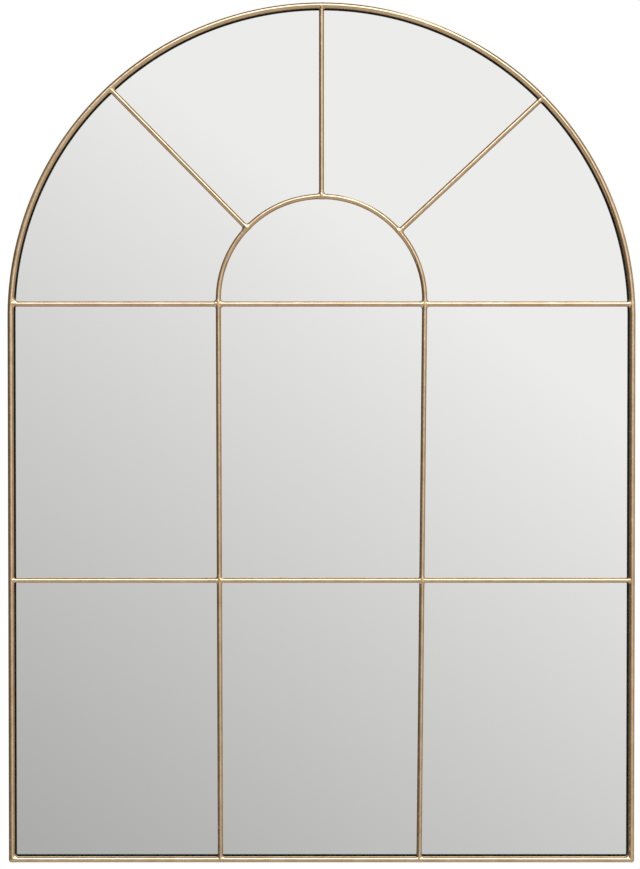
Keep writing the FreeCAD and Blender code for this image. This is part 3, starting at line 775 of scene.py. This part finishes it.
def make_board():
    smooth = black_fibreboard(screened=False)
    rough = black_fibreboard(screened=True)
    board = plate_mesh("fibre_board", BOARD_INSET, board_low.y, board_high.y, BOARD_ARRIS)
    keep(new_piece("fibre_board", board, smooth, smooth, rough), "black_board", "back_board")


def make_tape():
    """Strips of foam tape, their long edges squeezed out into a bulge."""
    foam = foam_tape()
    for word in ("left", "centre", "right"):
        low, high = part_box(word + "_tape")
        middle, half = mid(low.x, high.x), (high.x - low.x) / 2
        depth = (high.y - low.y) / 2
        bulge = depth / 2
        section = []
        for side in (1, -1):
            for share in shares(BEND_STEPS):
                turn = math.pi * share - math.pi / 2
                out = half - bulge + bulge * math.cos(turn)
                section.append((middle + side * out, mid(low.y, high.y) + side * depth * math.sin(turn)))
        shape = bmesh.new()
        close_rings(shape, [[shape.verts.new((x, y, z)) for x, y in section] for z in (low.z, high.z)])
        name = word + "_foam_strip"
        keep(new_piece(name, outward_mesh(shape, name), foam), "foam_tape", word + "_tape")


# Hardware on the back


def strip_mesh(name, path, half_widths, thickness):
    """A strip of sheet along a path in y and z, as wide as asked at each point."""
    shape = bmesh.new()
    rings = []
    for i, point in enumerate(path):
        ahead = (Vector(path[min(i + 1, len(path) - 1)]) - Vector(path[max(i - 1, 0)])).normalized()
        out = Vector((-ahead.y, ahead.x)) * thickness / 2
        half = half_widths[i]
        ring = []
        for across, face in ((-half, 1), (half, 1), (half, -1), (-half, -1)):
            ring.append(shape.verts.new((across, point[0] + face * out.x, point[1] + face * out.y)))
        rings.append(ring)
    close_rings(shape, rings)
    return outward_mesh(shape, name)


def rounded_half(half, radius, to_end):
    """Half the width of a strip with rounded corners, at a distance from its end."""
    if to_end >= radius:
        return half
    return half - radius + math.sqrt(max(radius ** 2 - (radius - to_end) ** 2, 0))


def bevelled(name, mesh, width, *materials):
    """A piece of sheet with its sharp edges eased."""
    maker = new_piece(name + "_blank", mesh)
    ease = maker.modifiers.new("ease", "BEVEL")
    ease.width = width
    ease.segments = 2
    ease.limit_method = "ANGLE"
    ease.angle_limit = EASE_ANGLE
    piece = as_mesh(maker, name, *materials)
    piece.data.shade_smooth()
    return piece


def copies_tree(finish):
    """Geometry Nodes tree that sets a copy of a piece on each spot, turned as the spot says."""
    tree = node_group("placed_copies", {"Spots": "Geometry", "Piece": "Object"}, "Copies")
    given = add_node(tree, "NodeGroupInput")
    piece = add_node(tree, "GeometryNodeObjectInfo", {"Object": given.outputs["Piece"]})
    turn = add_node(tree, "GeometryNodeInputNamedAttribute", {"Name": "turn"}, data_type="FLOAT_VECTOR")
    placed = add_node(tree, "GeometryNodeInstanceOnPoints", {
        "Points": given.outputs["Spots"],
        "Instance": piece.outputs["Geometry"],
        "Rotation": turn.outputs["Attribute"],
    })
    real = add_node(tree, "GeometryNodeRealizeInstances", {"Geometry": placed.outputs["Instances"]})
    painted = add_node(tree, "GeometryNodeSetMaterial", {
        "Geometry": real.outputs["Geometry"], "Material": finish,
    })
    add_node(tree, "NodeGroupOutput", {"Copies": painted.outputs["Geometry"]})
    return tree


def place_copies(name, pattern, spots, finish):
    """One mesh of a pattern repeated at spots, each a place and a turn about Y."""
    points = bpy.data.meshes.new(name + "_spots")
    points.from_pydata([place for place, turn in spots], [], [])
    turns = points.attributes.new("turn", "FLOAT_VECTOR", "POINT")
    for item, (place, turn) in zip(turns.data, spots):
        item.vector = (0, turn, 0)
    maker = new_piece(name + "_spots", points)
    copies = maker.modifiers.new("placed_copies", "NODES")
    copies.node_group = copies_tree(finish)
    set_inputs(copies, Piece=pattern)
    made = as_mesh(maker, name)
    bpy.data.objects.remove(pattern)
    return made


def tab_spots():
    """Where the retaining tabs stand on the rails' axis, and how far each is turned to point inwards."""
    spots = []
    for number in range(ARCH_TABS):
        angle = math.pi * (number + 0.5) / ARCH_TABS
        place = (ARCH_RADIUS * math.cos(angle), 0, SPRINGING + ARCH_RADIUS * math.sin(angle))
        spots.append((place, -math.pi / 2 - angle))
    for side in SIDES.values():
        for number in range(SIDE_TABS):
            z = foot_low.z + (SPRINGING - foot_low.z) * (number + 0.5) / SIDE_TABS
            spots.append(((side * rail_x(z), 0, z), side * (RAIL_LEAN - math.pi / 2)))
    for number in range(FOOT_TABS):
        x = 2 * FOOT_X * ((number + 0.5) / FOOT_TABS - 0.5)
        spots.append(((x, 0, FOOT_Z), 0))
    return spots


def add_beads(shape, half):
    """The two weld beads of a tab, which swell and thin from step to step and run out at both ends."""
    along = [2 * share - 1 for share in shares(BEAD_STEPS)]
    radii = [
        BEAD_RADIUS * (BEAD_FULL + BEAD_RIPPLE * math.sin(7 * i) - BEAD_RUN_OUT * abs(x) ** 6)
        for i, x in enumerate(along)
    ]
    for face in (1, -1):
        z = face * (TAB_SHEET / 2 + BEAD_RADIUS / 2)
        points = [Vector((half * BEAD_SHARE * x, z)) for x in along]
        add_tube(shape, points, radii, RAIL_Y + RAIL_ROD / 2 - BEAD_RADIUS / 4, BEAD_SIDES)


def tab_pattern():
    """A strip welded to the back of a rail and bent inwards over the board, with the weld's two beads."""
    low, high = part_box("retaining_tab_13")
    half = (high.x - low.x) / 2
    flap = high.y - TAB_SHEET / 2
    reach = high.z - FOOT_Z
    path = [(RAIL_Y + RAIL_ROD / 3, 0), (RAIL_Y + RAIL_ROD / 2, 0)]
    for share in shares(BEND_STEPS):
        turn = math.pi / 2 * share
        path.append((flap - TAB_BEND + TAB_BEND * math.sin(turn), TAB_BEND - TAB_BEND * math.cos(turn)))
    for share in shares(TAB_ROUND_STEPS):
        path.append((flap, reach - TAB_ROUND * (1 - math.sin(math.pi / 2 * share))))
    widths = [rounded_half(half, TAB_ROUND, reach - z) for y, z in path]
    strip = bevelled("tab_strip", strip_mesh("tab_strip", path, widths, TAB_SHEET), TAB_EASE)
    shape = bmesh.new()
    shape.from_mesh(strip.data)
    add_beads(shape, half)
    strip.data = outward_mesh(shape, "tab_strip")
    strip.data.shade_smooth()
    return strip


def make_tabs(paint):
    spots = tab_spots()
    nodes = [f"retaining_tab_{number:02d}" for number in range(1, len(spots) + 1)]
    keep(place_copies("bent_tabs", tab_pattern(), spots, paint), "satin_gold", *nodes)


def make_straps(zinc):
    """Hanger straps: one strip each, its upper end curled round the ring's wire."""
    for word in SIDES:
        low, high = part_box(word + "_hanger_strap")
        half = (high.x - low.x) / 2
        outer = (high.y - low.y) / 2
        curl = outer - STRAP_SHEET / 2
        pivot_y, pivot_z = mid(low.y, high.y), high.z - outer
        ease = [math.sin(math.pi / 2 * share) for share in shares(STRAP_ROUND_STEPS)]
        path = [(pivot_y - curl, low.z + STRAP_ROUND * (1 - share)) for share in reversed(ease)]
        widths = [rounded_half(half, STRAP_ROUND, z - low.z) for y, z in path]
        for share in shares(CURL_STEPS):
            turn = math.pi + (CURL_END - math.pi) * share
            path.append((pivot_y + curl * math.cos(turn), pivot_z + curl * math.sin(turn)))
            widths.append(half)
        blank = strip_mesh(word + "_strap", path, widths, STRAP_SHEET)
        blank.transform(Matrix.Translation((mid(low.x, high.x), 0, 0)))
        keep(bevelled(word + "_curled_strap", blank, STRAP_EASE, zinc), "zinc_steel", word + "_hanger_strap")


def bumper_pattern(low, high):
    """A soft foot turned about Y: straight flank, rounded rim and a slightly dished face."""
    base = (high.x - low.x) / 2
    tall = high.y - low.y
    profile = [(base - BUMPER_EDGE, 0), (base, BUMPER_EDGE)]
    slope = (base - BUMPER_FACE) / tall
    for share in shares(BEND_STEPS):
        turn = math.pi / 2 * share
        out = base - slope * (tall - BUMPER_ROUND) - BUMPER_ROUND + BUMPER_ROUND * math.cos(turn)
        profile.append((out, tall - BUMPER_ROUND + BUMPER_ROUND * math.sin(turn)))
    profile.append((BUMPER_FACE * BUMPER_DISH_SHARE, tall - BUMPER_DISH))
    turns = [2 * math.pi * k / BUMPER_SIDES for k in range(BUMPER_SIDES)]
    shape = bmesh.new()
    rings = []
    for radius, y in profile:
        ring = [(radius * math.cos(turn), low.y + y, radius * math.sin(turn)) for turn in turns]
        rings.append([shape.verts.new(place) for place in ring])
    close_rings(shape, rings)
    foot = outward_mesh(shape, "bumper")
    foot.shade_smooth()
    return new_piece("bumper", foot)


def make_bumpers(rubber):
    boxes = [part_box(word + "_wall_bumper") for word in SIDES]
    spots = [((mid(low.x, high.x), 0, mid(low.z, high.z)), 0) for low, high in boxes]
    made = place_copies("rubber_feet", bumper_pattern(*boxes[-1]), spots, rubber)
    keep(made, "rubber", "left_wall_bumper", "right_wall_bumper")


def finish_hardware(zinc):
    """The turned screws and the wire rings keep their solids' shape."""
    for word in SIDES:
        for name in (word + "_hanger_screws", word + "_hanging_ring"):
            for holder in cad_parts[name].material_slots:
                holder.material = zinc


# Light and camera


def band(tree, source, start, full, weaken, end):
    """Share that rises smoothly from nought to one between two values and falls between two others."""
    return maths(tree, "MULTIPLY", fade(tree, source, start, full), fade(tree, source, weaken, end, 1.0, 0.0))


def room_grey(tree, slant, rise):
    """How light the room shows in a direction, as an sRGB share."""
    spread = 1 / SHELL_RADIUS + 1 / CAMERA_DISTANCE
    grey = MIRROR_GREY
    for source, rate in zip((slant, rise), GREY_PER_METRE):
        grey = maths(tree, "MULTIPLY_ADD", source, rate / spread, grey)
    grey = maths(tree, "MINIMUM", grey, GREY_RANGE[1])
    falls = ((slant, LEFT_FALL), (slant, FAR_LEFT_FALL), (slant, FAR_RIGHT_FALL), (rise, HIGH_FALL))
    for source, (start, end, share) in falls:
        grey = maths(tree, "MULTIPLY", grey, fade(tree, source, start, end, 1.0, share))
    either_side = maths(tree, "ABSOLUTE", slant)
    for source, (start, end, low, high, loss) in ((slant, LOW_CORNER), (either_side, HIGH_CORNER)):
        corner = maths(tree, "MULTIPLY", fade(tree, source, start, end), fade(tree, rise, low, high))
        grey = maths(tree, "MULTIPLY", grey, maths(tree, "MULTIPLY_ADD", corner, -loss, 1.0))
    return maths(tree, "MAXIMUM", grey, GREY_RANGE[0])


def softboxes(tree, slant, rise):
    """Shares in which the softbox overhead and the one on the right show in a direction."""
    start, end, share = CEILING_FALL
    weaker = fade(tree, maths(tree, "ABSOLUTE", slant), start, end, 1.0, share)
    overhead = maths(tree, "MULTIPLY", band(tree, rise, *CEILING_BAND), weaker)
    aside = maths(tree, "MULTIPLY", band(tree, slant, *SIDE_BOX), fade(tree, rise, *SIDE_BOX_RISE))
    return overhead, aside


def studio_light():
    """The shell that the metal and the mirror show: pale grey, lighter to the upper right as in the
    photograph, with a softbox overhead and another aside. Matt surfaces get an even light from it."""
    material, tree = new_material("studio_light")
    aim = add_node(tree, "ShaderNodeVectorMath", {0: on_piece(tree)}, operation="NORMALIZE")
    split = add_node(tree, "ShaderNodeSeparateXYZ", {"Vector": aim.outputs["Vector"]})
    slant, rise = split.outputs["X"], split.outputs["Z"]
    overhead, aside = softboxes(tree, slant, rise)
    boxes = maths(tree, "MULTIPLY_ADD", aside, SIDE_BOX_GREY, maths(tree, "MULTIPLY", overhead, CEILING_GREY))
    boxes = maths(tree, "MINIMUM", boxes, CEILING_GREY)
    grey = maths(tree, "ADD", room_grey(tree, slant, rise), boxes)
    tint = add_node(tree, "ShaderNodeMix", {
        "Factor": overhead, "A": linear("#FFFFFF"), "B": linear(SOFTBOX_TINT),
    }, data_type="RGBA")
    shown = maths(tree, "DIVIDE", maths(tree, "POWER", grey, DISPLAY_GAMMA), SILVER_SHARE)
    path = add_node(tree, "ShaderNodeLightPath")
    strength = add_node(tree, "ShaderNodeMix", {
        "Factor": path.outputs["Is Glossy Ray"], "A": ROOM_LEVEL, "B": shown,
    }, data_type="FLOAT")
    glow = add_node(tree, "ShaderNodeEmission", {
        "Color": tint.outputs["Result"], "Strength": strength.outputs["Result"],
    })
    add_node(tree, "ShaderNodeOutputMaterial", {"Surface": glow.outputs["Emission"]})
    material.cycles.emission_sampling = "NONE"
    return material


def pale_floor():
    """Matt pale floor, which is whiter to the camera and in reflections, and keeps its shadow."""
    material, tree = new_material("pale_floor")
    floor = add_node(tree, "ShaderNodeBsdfPrincipled", {"Base Color": linear("#EDEBE8"), "Roughness": 0.8})
    white = add_node(tree, "ShaderNodeEmission", {"Color": linear("#FFFFFF"), "Strength": 1.0})
    path = add_node(tree, "ShaderNodeLightPath")
    share = 0.0
    for ray, part in FLOOR_WHITE.items():
        share = maths(tree, "MULTIPLY_ADD", path.outputs[ray], part, share)
    both = add_node(tree, "ShaderNodeMixShader", {
        0: share, 1: floor.outputs["BSDF"], 2: white.outputs["Emission"],
    })
    add_node(tree, "ShaderNodeOutputMaterial", {"Surface": both.outputs["Shader"]})
    material.cycles.emission_sampling = "NONE"
    return material


def make_studio():
    shape = bmesh.new()
    bmesh.ops.create_uvsphere(shape, u_segments=64, v_segments=32, radius=SHELL_RADIUS)
    shell = new_piece("studio_shell", outward_mesh(shape, "studio_shell"), studio_light())
    shell.visible_camera = False
    shell.visible_shadow = False
    shape = bmesh.new()
    bmesh.ops.create_circle(shape, cap_ends=True, segments=96, radius=FLOOR_RADIUS)
    bmesh.ops.translate(shape, verts=shape.verts, vec=(0, 0, foot_low.z - FLOOR_DROP))
    floor = new_piece("floor", outward_mesh(shape, "floor"), pale_floor())


def make_world():
    """White to the camera and in reflections, dim to everything else."""
    world = bpy.data.worlds.new("studio")
    bpy.context.scene.world = world
    world.use_nodes = True
    tree = world.node_tree
    tree.nodes.clear()
    path = add_node(tree, "ShaderNodeLightPath")
    seen = maths(tree, "MAXIMUM", path.outputs["Is Camera Ray"], path.outputs["Is Glossy Ray"])
    seen = maths(tree, "MAXIMUM", seen, path.outputs["Is Transmission Ray"])
    dim = add_node(tree, "ShaderNodeBackground", {"Color": linear("#FFFFFF"), "Strength": WORLD_LEVEL})
    white = add_node(tree, "ShaderNodeBackground", {"Color": linear("#FFFFFF"), "Strength": 1.0})
    both = add_node(tree, "ShaderNodeMixShader", {0: seen, 1: dim.outputs[0], 2: white.outputs[0]})
    add_node(tree, "ShaderNodeOutputWorld", {"Surface": both.outputs[0]})


def make_lamp(name, place, aim, size, watts):
    lamp = bpy.data.lights.new(name, "AREA")
    lamp.shape = "DISK"
    lamp.size = size
    lamp.energy = watts
    holder = bpy.data.objects.new(name, lamp)
    holder.location = place
    holder.rotation_euler = (Vector(aim) - Vector(place)).to_track_quat("-Z", "Y").to_euler()
    bpy.context.scene.collection.objects.link(holder)


def make_camera():
    lens = bpy.data.cameras.new("front_camera")
    lens.sensor_width = SENSOR
    lens.lens = SENSOR * (CAMERA_DISTANCE + RAIL_Y) / IMAGE_LONG_SIDE
    camera = bpy.data.objects.new("front_camera", lens)
    camera.location = (CAMERA_X, -CAMERA_DISTANCE, CAMERA_Z)
    camera.rotation_euler = Euler((math.pi / 2, 0, 0))
    bpy.context.scene.collection.objects.link(camera)
    bpy.context.scene.camera = camera


def main():
    bpy.context.scene.view_settings.view_transform = "Standard"
    make_camera()
    make_world()
    make_studio()
    make_lamp("key_softbox", place=(0.6, -1.6, 1.9), aim=(0, 0, 0), size=1.6, watts=3)
    gold = satin_gold_paint()
    make_rods(gold)
    make_welds(gold)
    make_glass()
    make_board()
    make_tape()
    make_tabs(gold)
    zinc = zinc_plate()
    make_straps(zinc)
    finish_hardware(zinc)
    make_bumpers(bumper_rubber())


main()
